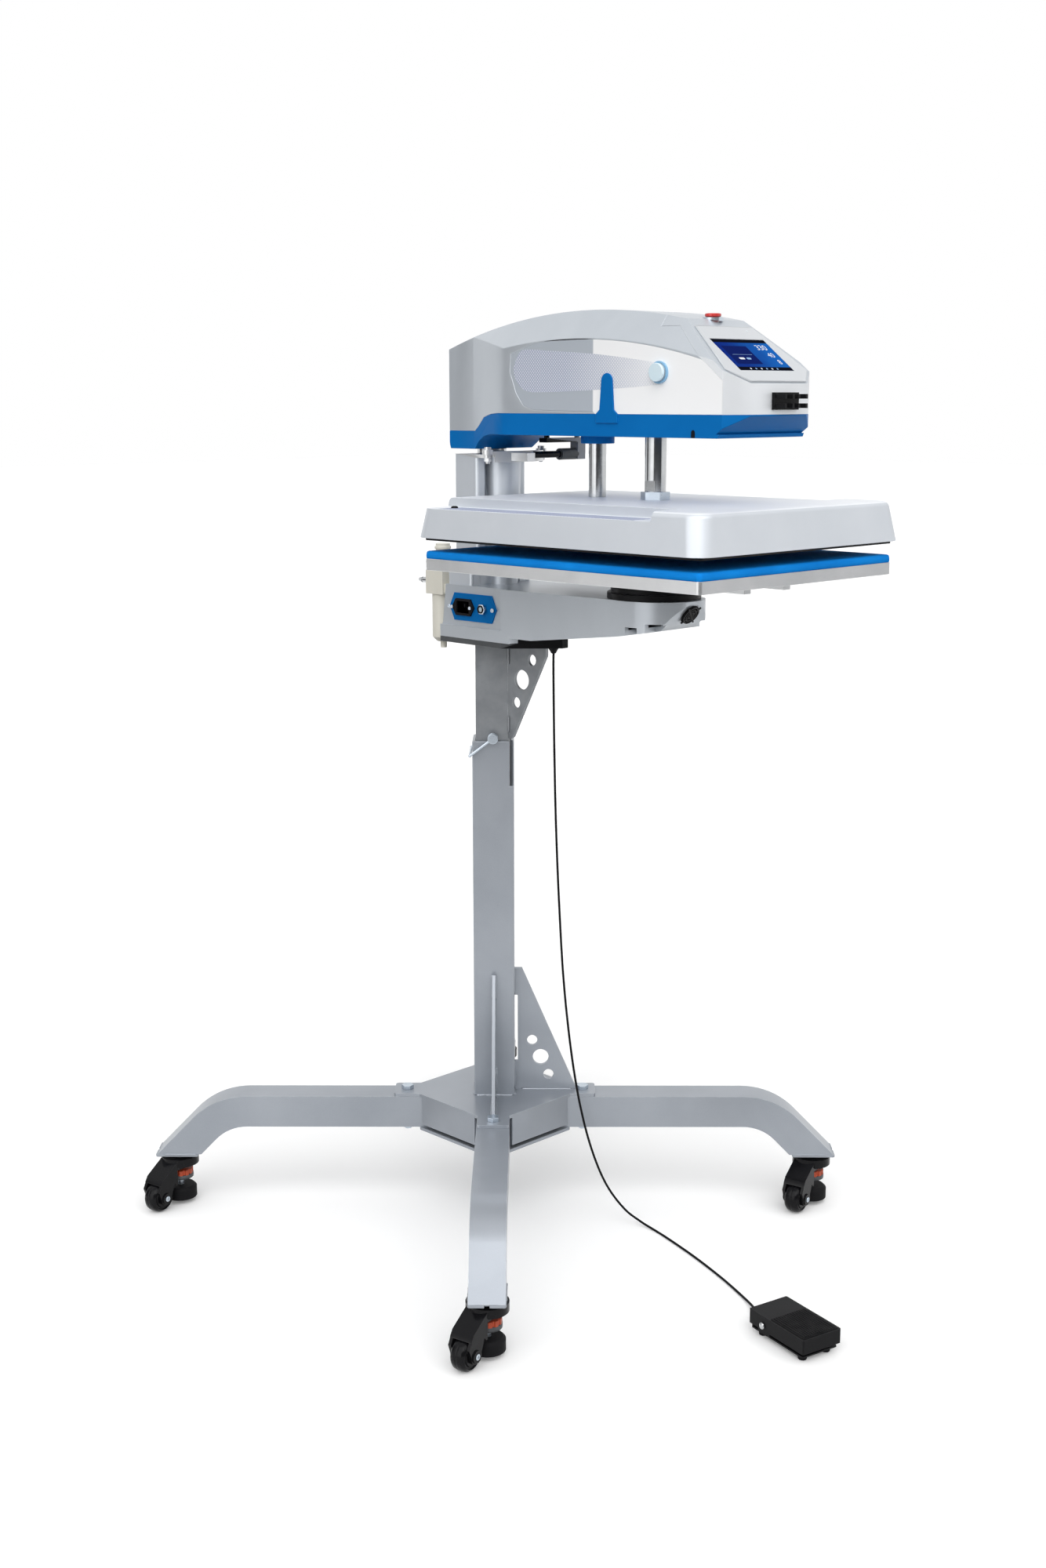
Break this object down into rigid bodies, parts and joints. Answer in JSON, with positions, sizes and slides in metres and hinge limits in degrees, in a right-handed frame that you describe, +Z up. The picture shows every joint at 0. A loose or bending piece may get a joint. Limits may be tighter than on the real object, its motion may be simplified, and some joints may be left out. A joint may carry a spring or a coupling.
{
  "type": "heat press",
  "caption": "Floor-standing pneumatic heat press with a swing-away head, sliding lower platen, telescoping column on a wheeled four-leg stand, and a foot pedal.",
  "frame": {"origin": "point on the floor under the axis of the column and of the head's swing", "axes": "+Z up, -Y towards the operator, +X to the operator's right"},
  "size_m": [0.8364, 1.098, 1.3942],
  "materials": {
    "stand_paint": "satin silver paint",
    "zinc": "zinc plated",
    "silver_paint": "metallic grain paint",
    "blue_paint": "satin",
    "white_panel": "gloss",
    "dark_plate": "satin",
    "bare_aluminium": "machined",
    "steel": "polished",
    "heat_black": "non-stick black coat",
    "pad_foam": "silicone foam",
    "black_plastic": "moulded",
    "wheel_rubber": "semi-gloss",
    "foot_rubber": "matt",
    "pedal_metal": "matt black",
    "cord_jacket": "matt",
    "cream": "moulded",
    "fascia": "membrane",
    "screen": "gloss",
    "collar": "gloss",
    "button_pale": "gloss",
    "button_red": "gloss",
    "button_white": "gloss"
  },
  "bodies": {
    "stand": {"legs": "stand_paint", "leg_bolts": "zinc", "hub_top_plate": "stand_paint", "hub_bottom_plate": "stand_paint", "lower_column": "stand_paint", "base_gussets": "stand_paint", "caster_plates": "stand_paint", "pedal_base": "pedal_metal", "pedal_feet": "foot_rubber", "foot_cord": "cord_jacket"},
    "caster_fl": {"caster_housing_fl": "black_plastic"},
    "wheel_fl": {"caster_wheel_fl": "wheel_rubber"},
    "foot_fl": {"caster_foot_fl": "foot_rubber"},
    "caster_fr": {"caster_housing_fr": "black_plastic"},
    "wheel_fr": {"caster_wheel_fr": "wheel_rubber"},
    "foot_fr": {"caster_foot_fr": "foot_rubber"},
    "caster_bl": {"caster_housing_bl": "black_plastic"},
    "wheel_bl": {"caster_wheel_bl": "wheel_rubber"},
    "foot_bl": {"caster_foot_bl": "foot_rubber"},
    "caster_br": {"caster_housing_br": "black_plastic"},
    "wheel_br": {"caster_wheel_br": "wheel_rubber"},
    "foot_br": {"caster_foot_br": "foot_rubber"},
    "treadle": {"pedal_treadle": "pedal_metal", "treadle_pad": "foot_rubber"},
    "column": {"upper_column": "zinc", "column_gusset": "zinc", "mounting_plate": "dark_plate", "hitch_pin": "zinc", "base_casting": "silver_paint", "post": "silver_paint", "swing_shaft": "steel", "stop_strap": "bare_aluminium", "inlet_plate": "blue_paint", "power_inlet": "black_plastic", "air_filter": "cream", "air_nipple": "steel", "fan_guard": "dark_plate", "platen_receiver": "black_plastic", "cord_gland": "black_plastic"},
    "bail": {"hitch_bail": "zinc"},
    "reset": {"reset_button": "button_white"},
    "draw": {"lower_platen": "bare_aluminium", "platen_pad": "pad_foam"},
    "head": {"head_cover": "silver_paint", "head_tray": "blue_paint", "side_panels": "white_panel", "control_nose": "silver_paint", "control_fascia": "fascia", "touch_screen": "screen", "clip_holder": "black_plastic", "button_collars": "collar", "swing_damper": "dark_plate", "air_cylinder": "bare_aluminium"},
    "stop": {"stop_button": "button_red"},
    "palm_left": {"palm_button_left": "button_pale"},
    "palm_right": {"palm_button_right": "button_pale"},
    "press": {"piston_rod": "steel", "guide_rod": "steel", "platen_cover": "silver_paint", "heat_platen": "heat_black"}
  },
  "joints": [
    {"name": "swivel_fl", "type": "hinge", "parent": "stand", "child": "caster_fl", "pos_m": [-0.36062, -0.36062, 0.075], "axis": [0, 0, 1], "continuous": true},
    {"name": "roll_fl", "type": "hinge", "parent": "caster_fl", "child": "wheel_fl", "pos_m": [-0.4106, -0.37079, 0.024], "axis": [0.1994, -0.9799, 0], "continuous": true},
    {"name": "level_fl", "type": "slide", "parent": "caster_fl", "child": "foot_fl", "axis": [0, 0, -1], "range_m": [0, 0.008]},
    {"name": "swivel_fr", "type": "hinge", "parent": "stand", "child": "caster_fr", "pos_m": [0.36062, -0.36062, 0.075], "axis": [0, 0, 1], "continuous": true},
    {"name": "roll_fr", "type": "hinge", "parent": "caster_fr", "child": "wheel_fr", "pos_m": [0.31065, -0.37079, 0.024], "axis": [0.1994, -0.9799, 0], "continuous": true},
    {"name": "level_fr", "type": "slide", "parent": "caster_fr", "child": "foot_fr", "axis": [0, 0, -1], "range_m": [0, 0.008]},
    {"name": "swivel_bl", "type": "hinge", "parent": "stand", "child": "caster_bl", "pos_m": [-0.36062, 0.36062, 0.075], "axis": [0, 0, 1], "continuous": true},
    {"name": "roll_bl", "type": "hinge", "parent": "caster_bl", "child": "wheel_bl", "pos_m": [-0.4106, 0.35046, 0.024], "axis": [0.1994, -0.9799, 0], "continuous": true},
    {"name": "level_bl", "type": "slide", "parent": "caster_bl", "child": "foot_bl", "axis": [0, 0, -1], "range_m": [0, 0.008]},
    {"name": "swivel_br", "type": "hinge", "parent": "stand", "child": "caster_br", "pos_m": [0.36062, 0.36062, 0.075], "axis": [0, 0, 1], "continuous": true},
    {"name": "roll_br", "type": "hinge", "parent": "caster_br", "child": "wheel_br", "pos_m": [0.31065, 0.35046, 0.024], "axis": [0.1994, -0.9799, 0], "continuous": true},
    {"name": "level_br", "type": "slide", "parent": "caster_br", "child": "foot_br", "axis": [0, 0, -1], "range_m": [0, 0.008]},
    {"name": "treadle_press", "type": "hinge", "parent": "stand", "child": "treadle", "pos_m": [-0.03218, -0.60661, 0.022], "axis": [0.9781, -0.2079, 0], "range_deg": [0, 4], "stiffness_Nm_per_rad": 4, "springref_deg": -5.73},
    {"name": "column_height", "type": "slide", "parent": "stand", "child": "column", "axis": [0, 0, 1], "range_m": [0, 0.15]},
    {"name": "bail_lift", "type": "hinge", "parent": "column", "child": "bail", "pos_m": [0, 0, 0.7673], "axis": [0.7071, 0.7071, 0], "range_deg": [0, 75]},
    {"name": "reset_press", "type": "slide", "parent": "column", "child": "reset", "axis": [1, 0, 0], "range_m": [0, 0.002], "stiffness_N_per_m": 500, "springref_m": -0.002},
    {"name": "platen_draw", "type": "slide", "parent": "column", "child": "draw", "axis": [0, -1, 0], "range_m": [0, 0.2]},
    {"name": "head_swing", "type": "hinge", "parent": "column", "child": "head", "pos_m": [0, 0, 1.25], "axis": [0, 0, 1], "range_deg": [0, 100]},
    {"name": "stop_press", "type": "slide", "parent": "head", "child": "stop", "axis": [0, 0, -1], "range_m": [0, 0.0025], "stiffness_N_per_m": 800, "springref_m": -0.002},
    {"name": "palm_left_press", "type": "slide", "parent": "head", "child": "palm_left", "axis": [1, 0, 0], "range_m": [0, 0.004], "stiffness_N_per_m": 500, "springref_m": -0.002},
    {"name": "palm_right_press", "type": "slide", "parent": "head", "child": "palm_right", "axis": [-1, 0, 0], "range_m": [0, 0.004], "stiffness_N_per_m": 500, "springref_m": -0.002},
    {"name": "press_stroke", "type": "slide", "parent": "head", "child": "press", "axis": [0, 0, -1], "range_m": [0, 0.0147], "stiffness_N_per_m": 8000, "springref_m": -0.05}
  ]
}
